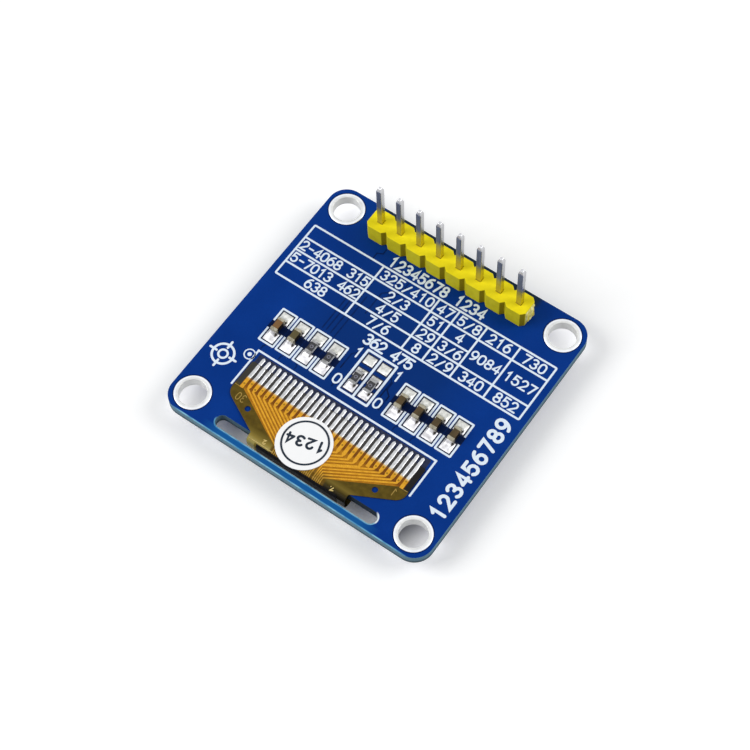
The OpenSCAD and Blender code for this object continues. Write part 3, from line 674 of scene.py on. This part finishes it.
# Plain digits on a grid 4 wide and 6 high: (is closed, points) for each stroke
DIGITS = {
    "0": [(True, (arc(2, 3.9, 1.9, 2.1, 0, 180) + arc(2, 2.1, 1.9, 2.1, 180, 360)))],
    "1": [(False, [(1.0, 4.7), (2.3, 6), (2.3, 0)])],
    "2": [(False, arc(2, 4.2, 1.8, 1.8, 165, -35) + [(0.1, 0), (4, 0)])],
    "3": [
        (False, arc(1.9, 4.55, 1.7, 1.45, 150, -90)), (False, arc(1.9, 1.6, 1.95, 1.55, 90, -150))
    ],
    "4": [(False, [(3, 0), (3, 6), (0, 1.7)]), (False, [(0, 1.7), (4, 1.7)])],
    "5": [(False, [(3.7, 6), (0.6, 6), (0.4, 3.3)] + arc(1.9, 1.95, 1.95, 1.95, 125, -150))],
    "6": [(True, arc(2, 1.9, 1.9, 1.9, 0, 342, 19)), (False, arc(3.4, 1.9, 3.3, 4.1, 95, 180))],
    "7": [(False, [(0.1, 6), (3.9, 6), (1.5, 0)])],
    "8": [(True, arc(2, 4.5, 1.6, 1.5, 0, 342, 19)), (True, arc(2, 1.6, 1.95, 1.6, 0, 342, 19))],
    "9": [(True, arc(2, 4.1, 1.9, 1.9, 0, 342, 19)), (False, arc(0.6, 4.1, 3.3, 4.1, -85, 0))],
    "/": [(False, [(0.4, -0.3), (3.6, 5.2)])],
    "-": [(False, [(0.6, 2.9), (3.4, 2.9)])],
    " ": [],
}
STROKE_STEP = 0.006  # a sign's second stroke lies this much higher, so that no faces coincide


def write(bm, text, at, size, width, low, high, turn=0.0, flip=False, pitch=1.0, squeeze=1.0):
    """Digits centred at a point. size: their height; pitch: from one to the next."""
    scale = size / 6
    c, s = cos(radians(turn)), sin(radians(turn))
    for n, sign in enumerate(text):
        for m, (closed, points) in enumerate(DIGITS[sign]):
            placed = []
            for x, y in points:
                x = (x - 2) * scale * squeeze + (n - (len(text) - 1) / 2) * pitch
                y = (y - 3) * scale
                x = -x if flip else x
                placed.append((at[0] + x * c - y * s, at[1] + x * s + y * c))
            stroke(bm, placed, width, low, high + m * STROKE_STEP, closed)


def close_lump(bm, grid, base):
    """Faces over a grid of points, walls down from its rim and a flat foot."""
    for row, after in zip(grid, grid[1:]):
        for i in range(len(row) - 1):
            bm.faces.new((row[i], row[i + 1], after[i + 1], after[i]))
    inner = grid[1:-1]
    rim = grid[0] + [row[-1] for row in inner] + grid[-1][::-1] + [row[0] for row in inner][::-1]
    feet = [bm.verts.new((v.co.x, v.co.y, base)) for v in rim]
    for i in range(len(rim)):
        j = (i + 1) % len(rim)
        bm.faces.new((rim[j], rim[i], feet[i], feet[j]))
    bm.faces.new(feet)


def mound(bm, x0, x1, y0, y1, base, height, nx, ny):
    """A closed lump over a rectangle; height(u, v) with u and v from -1 to 1."""
    grid = []
    for j in range(ny + 1):
        row = []
        for i in range(nx + 1):
            u, v = 2 * i / nx - 1, 2 * j / ny - 1
            x, y = x0 + (x1 - x0) * (u + 1) / 2, y0 + (y1 - y0) * (v + 1) / 2
            row.append(bm.verts.new((x, y, base + max(height(u, v), 0))))
        grid.append(row)
    close_lump(bm, grid, base - 0.02)


def ripple(x, y, seed, scale=1.0):
    return noise.noise(Vector((x * scale, y * scale, seed * 7.31)))


def islands(node):
    """Box of each separate solid of a CAD node, from the left: (low, high)."""
    mesh = frame["nodes"][node].data
    spots = {}
    owner = []
    for v in mesh.vertices:
        owner.append(spots.setdefault(tuple(round(c / MM, 3) for c in v.co), len(spots)))
    parent = list(range(len(spots)))

    def find(i):
        while parent[i] != i:
            parent[i] = parent[parent[i]]
            i = parent[i]
        return i

    for edge in mesh.edges:
        a, b = (find(owner[i]) for i in edge.vertices)
        parent[a] = b
    groups = {}
    for spot, i in spots.items():
        groups.setdefault(find(i), []).append(Vector(spot))
    boxes = []
    for points in groups.values():
        low = Vector(min(p[i] for p in points) for i in range(3))
        high = Vector(max(p[i] for p in points) for i in range(3))
        boxes.append((low, high))
    return sorted(boxes, key=lambda b: (round(b[0].x, 2), b[0].y))


# ---------------------------------------------------------------- parts
def nudge_label(bm):
    """The label lies a hair off its place and is a hair smaller."""
    at = middle("round_label")
    for v in bm.verts:
        v.co.x = at.x + (v.co.x - at.x) * 0.985
        v.co.y = at.y + (v.co.y - at.y) * 0.985 + 0.07


def dress_cad():
    """Procedural materials on every CAD node, and rounded edges where they show."""
    for name, node in frame["nodes"].items():
        node.data.materials.clear()
        node.data.materials.append(looks[slots[name]])
        for face in node.data.polygons:
            face.material_index = 0
    rounded_copy("circuit_board", "board_body", 0.11)
    rounded_copy("header_housing", "housing_body", 0.07, 3)
    for i in range(1, 5):
        rounded_copy(f"mount_ring_{i}", f"ring_plating_{i}", 0.02)
    for i in range(1, 9):
        rounded_copy(f"header_pin_{i}", f"pin_shaft_{i}", 0.05, 2, 20)
    for i in range(1, 7):
        rounded_copy(f"capacitor_{i}", f"capacitor_body_{i}", 0.05, 3)
        rounded_copy(f"capacitor_ends_{i}", f"capacitor_caps_{i}", 0.045, 3, look="cap_tin")
    for i in range(1, 5):
        rounded_copy(f"resistor_{i}", f"resistor_body_{i}", 0.03)
        rounded_copy(f"resistor_ends_{i}", f"resistor_caps_{i}", 0.03, look="end_tin")
    rounded_copy("round_label", "label_disc", 0.02, shape=nudge_label)
    rounded_copy("display_glass", "panel_glass", 0.06)
    rounded_copy("display_cap", "panel_cap", 0.06)
    rounded_copy("polarizer", "panel_polarizer", 0.03)
    rounded_copy("foam_tape", "tape_body", 0.03)
    rounded_copy("driver_chip", "die_body", 0.02)


def make_mask_openings():
    """Bare board round pads and fingers, and darker mask off the copper round rings and chips, with
    painted shadow beside the chips from its look.
    """
    bm = bmesh.new()
    low, high = top - SINK, top + 0.004
    for a, b in islands("chip_pads"):
        wide = 0.19 if b.x - a.x > 1.25 else 0.15
        rounded_plate(bm, a.x - wide, a.y - wide, b.x + wide, b.y + wide, 0.12, low, high)
    a, b = box("flex_pads")
    rounded_plate(bm, a.x - 0.55, film_high.y - 0.3, b.x + 0.55, b.y + 0.2, 0.1, low, high)
    finish_mesh("mask_openings", bm, "board_mask", 0, look="bare_board")
    bm = bmesh.new()
    for i in range(1, 5):
        a, b = box(f"mount_ring_{i}")
        at = (a + b) / 2
        r = (b.x - a.x) / 2
        ring(bm, at.x, at.y, r + 0.12, r - 0.05, low, high - 0.001, 48)
    # mask off the copper round the chips, darkened by the painted shadow in its look
    for node in [f"capacitor_{n}" for n in range(1, 7)] + ["resistor_1", "resistor_2"]:
        x, y, z = middle(node)
        rounded_plate(bm, x - 1.1, y - 0.62, x + 1.1, y + 0.62, 0.2, low, top + 0.002)
    finish_mesh("mask_gaps", bm, "board_mask", 0, look="mask_shade")


def make_mask_lines():
    """Darker lines in the mask where the copper has a gap beside a track."""
    bm = bmesh.new()
    low, high = top - SINK, top + 0.003
    for x, y0, y1, lean in (
        (-7.45, 0.2, 7.2, 0.0), (-6.95, 0.3, 6.9, 0.0), (-6.35, 0.2, 6.4, 0.0),
        (-5.75, 0.0, 5.9, 0.0), (-3.05, -2.6, 1.0, 0.5), (-2.55, -4.9, -4.2, 0.3),
        (2.35, -3.2, 0.8, -0.5), (3.1, -4.4, -1.0, -0.6), (-4.7, 4.2, 9.6, 0.9),
        (-3.9, 4.4, 9.9, 0.9), (-8.0, 9.9, 11.9, 0.6), (-5.2, 10.3, 11.8, 0.8),
    ):
        bend, after = y0 + (y1 - y0) * 0.55, y0 + (y1 - y0) * 0.7
        stroke(bm, [(x, y0), (x, bend), (x + lean, after), (x + lean, y1)], 0.16, low, high)
    for x, y, lean in (
        (-11.3, -5.35, 0.2), (-9.0, -5.3, 0.2), (-6.9, -5.35, -0.2), (5.6, -5.3, 0.2),
        (7.8, -5.35, 0.2),
    ):
        stroke(bm, [(x, y - 0.15), (x, y + 0.2), (x + lean, y + 0.45)], 0.15, low, high)
    finish_mesh("mask_lines", bm, "board_mask", 0, look="mask_shade")


def make_text():
    """Plain digits in the printed places."""
    bm = bmesh.new()
    low, high = top - SINK, top + 0.03
    line, row_height = 0.11, 1.81
    ceiling = box("board_print")[1].y - line

    def put(text, x, y, pitch, size=1.1, width=0.2, squeeze=0.95):
        write(bm, text, (x, y), size, width, low, high, pitch=pitch, squeeze=squeeze)

    for text, x, row, pitch in (
        ("2-4068 315", -11.0, 1, 0.89), ("5-7013 462", -11.0, 2, 0.89), ("638", -10.92, 3, 0.9),
        ("325/410", -2.72, 0, 0.97), ("2/3", -2.72, 1, 0.97), ("4/5", -2.72, 2, 0.97),
        ("7/6", -2.72, 3, 0.97), ("47", 2.2, 0, 1.0), ("51", 2.2, 1, 1.0), ("29", 2.2, 2, 1.0),
        ("8", 2.2, 3, 1.0), ("5/8", 5.28, 0, 0.97), ("4", 5.28, 1, 0.97), ("3/6", 5.28, 2, 0.97),
        ("2/9", 5.28, 3, 0.97), ("216", 9.12, 0, 0.98), ("340", 9.12, 3, 0.98),
        ("9084", 9.12, 1.5, 0.93), ("730", 13.45, 0, 0.98), ("852", 13.45, 3, 0.98),
        ("1527", 13.42, 1.5, 0.97),
    ):
        put(text, x, ceiling - (row + 0.5) * row_height, pitch)
    put("362 475", 0.05, 1.78, 0.87, 1.2, 0.24)
    for s in (-1, 1):
        put("1", s * 2.55, -0.1, 1, 1.15)
        put("0", s * 2.58, -3.85, 1, 1.15)
    put("12345678 1234", -0.15, 11.1, 0.95, 1.2, 0.25, 0.86)
    at = (14.72, -4.55)
    write(bm, "123456789", at, 1.55, 0.37, low, high, turn=90, pitch=1.49, squeeze=0.95)
    finish_mesh("print_digits", bm, "white_print", 0)
    bm = bmesh.new()
    at = Vector((-14.2, -8.3))
    ring(bm, *at, 1.33, 1.07, low, high, 40)
    ring(bm, *at, 0.62, 0.38, low, high, 40)
    for k in range(4):
        out = Vector((cos(pi * k / 2), sin(pi * k / 2)))
        stroke(bm, [at + out * 0.85, at + out * 1.65], 0.26, low, high + 0.002)
    ring(bm, -11.85, -6.75, 0.66, 0.52, low, high, 28)
    prism(bm, circle(-11.85, -6.75, 0.24, 20), low, high)
    finish_mesh("print_target", bm, "white_print", 0)


def make_label_marks():
    """Plain digits in the middle of the label, upside down, and its printed ring."""
    bm = bmesh.new()
    x, y, z = middle("round_label")
    low, high = label_high.z - SINK, label_high.z + 0.012
    write(bm, "1234", (x + 0.04, y + 0.22), 1.08, 0.27, low, high, turn=194.5, pitch=1.12)
    finish_mesh("label_digits", bm, "label_ink", 0)
    bm = bmesh.new()
    r = (label_high.x - label_low.x) / 2 * 0.832
    low, high = box("label_print")
    ring(bm, x + 0.06, y + 0.16, r, r - 0.2, low.z - 0.005, high.z, 96)
    finish_mesh("label_ring", bm, "label_ink", 0, ["label_print"])


def make_fingers():
    """Solder on each finger: it wets the film's finger and runs down to the board's pad."""
    bm = bmesh.new()
    nx, ny = 8, 36
    for n, ((a, b), (c, d)) in enumerate(zip(islands("flex_fingers"), islands("flex_pads"))):
        random.seed(n + 3)
        tip = d.y - random.choice((0.0, 0.02, 0.05, 0.14))
        x, half = (a.x + b.x) / 2, (b.x - a.x) / 2
        foot = a.y - 0.13 - TILT * x
        grid = []
        for j in range(ny + 1):
            y = foot + (tip - foot) * j / ny
            on_film = 1 / (1 + exp((y - film_high.y) / 0.11))
            crest = (top + PAD_RISE) + (film_high.z + 0.05 - top - PAD_RISE) * on_film
            wide = half * (1.09 + 0.10 * ripple(n * 3.1, y, 1, 1.6)) * (1 - 0.07 * (1 - on_film))
            blunt = max(0.0, (y - (tip - half * 0.9)) / (half * 0.9))
            wide *= max(1 - blunt**2, 0.0) ** 0.5 if blunt < 1 else 0.02
            shift = 0.035 * ripple(n * 1.7, y, 2, 1.1)
            row = []
            for i in range(nx + 1):
                u = 2 * i / nx - 1
                round_off = max(1 - abs(u) ** 3.2, 0.0) ** 0.5
                lump = 0.018 * ripple(x + u * 0.3, y, 5, 2.3)
                z = crest - 0.085 * (1 - round_off) + lump * round_off
                row.append(bm.verts.new((x + shift + u * max(wide, 0.01), y, z)))
            grid.append(row)
        close_lump(bm, grid, top - 0.02)
    replaced = ["flex_fingers", "flex_pads"]
    finish_mesh("finger_solder", bm, "tinned_copper", 50, replaced, look="finger_tin")


def make_chip_solder():
    """Tin on every chip pad with a fillet climbing the chip's end."""
    ends = [box(f"capacitor_ends_{i}") for i in range(1, 7)]
    ends += [box(f"resistor_ends_{i}") for i in range(1, 5)]
    bm = bmesh.new()
    for a, b in islands("chip_pads"):
        mid = (a + b) / 2
        touching = [
            (low, high) for low, high in ends
            if abs((low.x + high.x) / 2 - mid.x) < 0.4 and low.y < b.y and high.y > a.y
        ]

        def height(u, v):
            x = mid.x + u * (b.x - a.x) / 2
            y = mid.y + v * (b.y - a.y) / 2
            rim = max(1 - abs(u) ** 4, 0) * max(1 - abs(v) ** 4, 0)
            z = 0.085 * rim + 0.03 * ripple(x, y, 9, 1.5) * rim
            for low, high in touching:
                out = max(low.y - y, y - high.y, 0)
                side = max(abs(x - (low.x + high.x) / 2) - 0.36, 0)
                tall = (high.z - top) * 0.72
                z += tall * exp(-((out / 0.22) ** 1.3)) * exp(-((side / 0.13) ** 2)) * rim
            return z

        mound(bm, a.x, b.x, a.y, b.y, top + 0.005, height, 16, 16)
    finish_mesh("pad_solder", bm, "solder", 50, ["chip_solder", "chip_pads"])


def make_film_parts():
    """What shows through or lies on the cable's film, and a painted highlight along its fold."""
    bm = bmesh.new()
    z = film_high.z
    turn = finger_low.y - 1.2
    wide = finger_high.x
    traces = [v.co / MM for v in frame["nodes"]["flex_traces"].data.vertices]
    neck = max(v.x for v in traces if v.y < film_low.y + 0.75)
    half = [
        (neck + 0.1, film_low.y + 0.82), (wide - 0.42, turn - 0.16),
        (wide + 0.06, turn - 0.16), (wide + 0.06, film_high.y),
    ]
    prism(bm, [(-x, y) for x, y in half[::-1]] + half, z - 0.01, z + 0.006)
    finish_mesh("film_ground", bm, "flex_film", 0, look="film_ground")

    bm = bmesh.new()
    low, high = z - 0.005, z + 0.014
    write(bm, "30", (-9.45, -11.4), 0.86, 0.085, low, high, flip=True, pitch=0.62, squeeze=0.72)
    write(bm, "1", (9.82, -11.2), 0.82, 0.09, low, high, flip=True)
    for s in (-1, 1):
        ends = [(s * (wide - 0.35), turn - 0.22), (s * (film_high.x - 0.12), turn - 0.2)]
        stroke(bm, ends, 0.07, low, high)
    finish_mesh("film_marks", bm, "covered_copper", 0, look="film_mark")

    bm = bmesh.new()
    write(bm, "2", (-4.33, -14.15), 0.44, 0.09, low - 0.03, high, turn=195)
    write(bm, "2", (4.4, -14.38), 0.50, 0.10, low - 0.15, high - 0.02, turn=20)
    # painted highlight: a bright line along the crease of the fold
    stroke(bm, [(-5.95, -14.56), (-4.6, -14.56), (-3.0, -14.58)], 0.05, low - 0.2, high - 0.085)
    finish_mesh("fold_marks_and_highlight", bm, "covered_copper", 0, look="fold_mark")

    bm = bmesh.new()
    z = box("flex_traces")[1].z
    for n, (a, b) in enumerate(islands("flex_fingers")):
        y = finger_low.y - (0.87 if n % 2 == 0 else 0.52)
        prism(bm, circle((a.x + b.x) / 2, y, 0.11, 16), z - 0.02, z + 0.012)
    finish_mesh("film_dots", bm, "covered_copper", 0, look="film_dot")


def make_resistor_marks():
    bm = bmesh.new()
    z = box("resistor_coats")[1].z
    for n in range(1, 5):
        at = middle(f"resistor_{n}")
        ring(bm, at.x, at.y, 0.21, 0.12, z - SINK, z + 0.006, 24)
    finish_mesh("resistor_marks", bm, "white_print", 0, look="grey_print")


def make_housing_scar():
    """The torn end where the housing was broken off a longer strip."""
    bm = bmesh.new()
    y = middle("header_housing").y
    low, high = housing_low.z + 0.15, housing_high.z - 0.12

    def height(u, v):
        edge = 0.12 * ripple(u, v, 23, 3.3)
        rim = min(max(1 - abs(u) + edge, 0) * 7, 1) * min(max(1 - abs(v) + edge, 0) * 7, 1)
        rough = ripple(u, v, 21, 1.7) + 0.6 * ripple(u, v, 22, 4.1)
        return (0.17 + 0.12 * rough) * rim

    mound(bm, y - 0.8, y + 0.8, low, high, housing_high.x, height, 24, 30)
    for v in bm.verts:
        v.co = Vector((v.co.z, v.co.x, v.co.y))
    finish_mesh("housing_scar", bm, "yellow_plastic", 25, look="torn_plastic")


# ---------------------------------------------------------------- light, in metres
def span(tree, socket, low, high, to_low=0.0, to_high=1.0):
    node = tree.nodes.new("ShaderNodeMapRange")
    for i, value in enumerate((low, high, to_low, to_high)):
        node.inputs[i + 1].default_value = value
    tree.links.new(socket, node.inputs[0])
    return node.outputs[0]


def combine(tree, operation, first, *others):
    for other in others:
        node = tree.nodes.new("ShaderNodeMath")
        node.operation = operation
        tree.links.new(first, node.inputs[0])
        tree.links.new(other, node.inputs[1])
        first = node.outputs[0]
    return first


def make_floor():
    """White paper, lifted a little for the camera outside, with painted light under the board's back
    and painted shade under its slot and front right corner hole.
    """
    bpy.ops.mesh.primitive_plane_add(size=1.2, location=(0, 0, -0.00001))
    floor = bpy.context.object
    floor.name = "floor"
    paper = bpy.data.materials.new("floor_paper")
    paper.use_nodes = True
    tree = paper.node_tree
    tree.nodes.clear()
    out = tree.nodes.new("ShaderNodeOutputMaterial")
    diffuse = tree.nodes.new("ShaderNodeBsdfDiffuse")
    glow = tree.nodes.new("ShaderNodeEmission")
    path = tree.nodes.new("ShaderNodeLightPath")
    where = tree.nodes.new("ShaderNodeSeparateXYZ")
    tree.links.new(tree.nodes.new("ShaderNodeTexCoord").outputs["Object"], where.inputs[0])
    x, y, z = where.outputs

    def times(*factors):
        return combine(tree, "MULTIPLY", *factors)

    # painted shade under the slot and round the front right corner hole
    row = times(span(tree, y, -0.0153, -0.0148), span(tree, y, -0.0095, -0.0110))
    slot = times(span(tree, x, -0.0125, -0.0115), span(tree, x, 0.0120, 0.0115), row)
    corner = times(span(tree, x, 0.0115, 0.0120), span(tree, x, 0.0144, 0.0120), row)
    # painted light under the board's back
    under = times(
        span(tree, x, -0.0175, -0.0168),
        span(tree, x, 0.0160, 0.0152),
        span(tree, y, -0.0155, -0.0148),
        span(tree, y, 0.0171, 0.0165),
        span(tree, times(x, x), 0.000090, 0.000110),
    )
    tree.links.new(span(tree, corner, 0, 1, 0.94, 0.52), diffuse.inputs["Color"])
    back = times(under, span(tree, y, -0.005, 0.005, 0.3, 1))
    level = times(
        path.outputs["Is Camera Ray"],
        span(tree, back, 0, 1, 0.16, 0.40),
        span(tree, slot, 0, 1, 1, 0.232),
        span(tree, corner, 0, 1, 1, 0),
    )
    tree.links.new(level, glow.inputs["Strength"])
    both = tree.nodes.new("ShaderNodeAddShader")
    tree.links.new(diffuse.outputs[0], both.inputs[0])
    tree.links.new(glow.outputs[0], both.inputs[1])
    tree.links.new(both.outputs[0], out.inputs["Surface"])
    floor.data.materials.append(paper)


def make_sky():
    """White for the camera, mirrors and glass; a weaker light for the rest."""
    world = bpy.data.worlds.new("world")
    scene.world = world
    world.use_nodes = True
    tree = world.node_tree
    tree.nodes.clear()
    out = tree.nodes.new("ShaderNodeOutputWorld")
    path = tree.nodes.new("ShaderNodeLightPath").outputs
    sky = tree.nodes.new("ShaderNodeBackground")
    sky.inputs["Color"].default_value = (0.97, 0.985, 1.0, 1)
    seen = [path[name] for name in ("Is Camera Ray", "Is Glossy Ray", "Is Transmission Ray")]
    level = span(tree, combine(tree, "MAXIMUM", *seen), 0, 1, 0.40, 1.0)
    tree.links.new(level, sky.inputs["Strength"])
    tree.links.new(sky.outputs[0], out.inputs["Surface"])


def make_lamps():
    for name, at, power in (
        ("left", (-0.301, -0.237, 0.321), 1.42),
        ("right", (0.301, 0.237, 0.321), 1.00),
    ):
        data = bpy.data.lights.new(name, "AREA")
        data.shape = "SQUARE"
        data.size = 0.30
        data.energy = power
        lamp = bpy.data.objects.new(name, data)
        scene.collection.objects.link(lamp)
        lamp.location = at
        aim = Vector((0, 0, 0.003)) - Vector(at)
        lamp.rotation_euler = aim.to_track_quat("-Z", "Y").to_euler()


for make in (
    board_look, mask_looks, tin_look, solder_looks, pin_look, plastic_look, coat_look,
    ceramic_look, film_looks, trace_looks, glass_look, plain_looks, dress_cad,
    make_mask_openings, make_mask_lines, make_text, make_label_marks, make_fingers,
    make_chip_solder, make_film_parts, make_resistor_marks, make_housing_scar, make_camera,
    make_floor, make_sky, make_lamps,
):
    make()
scene.view_settings.view_transform = "Standard"
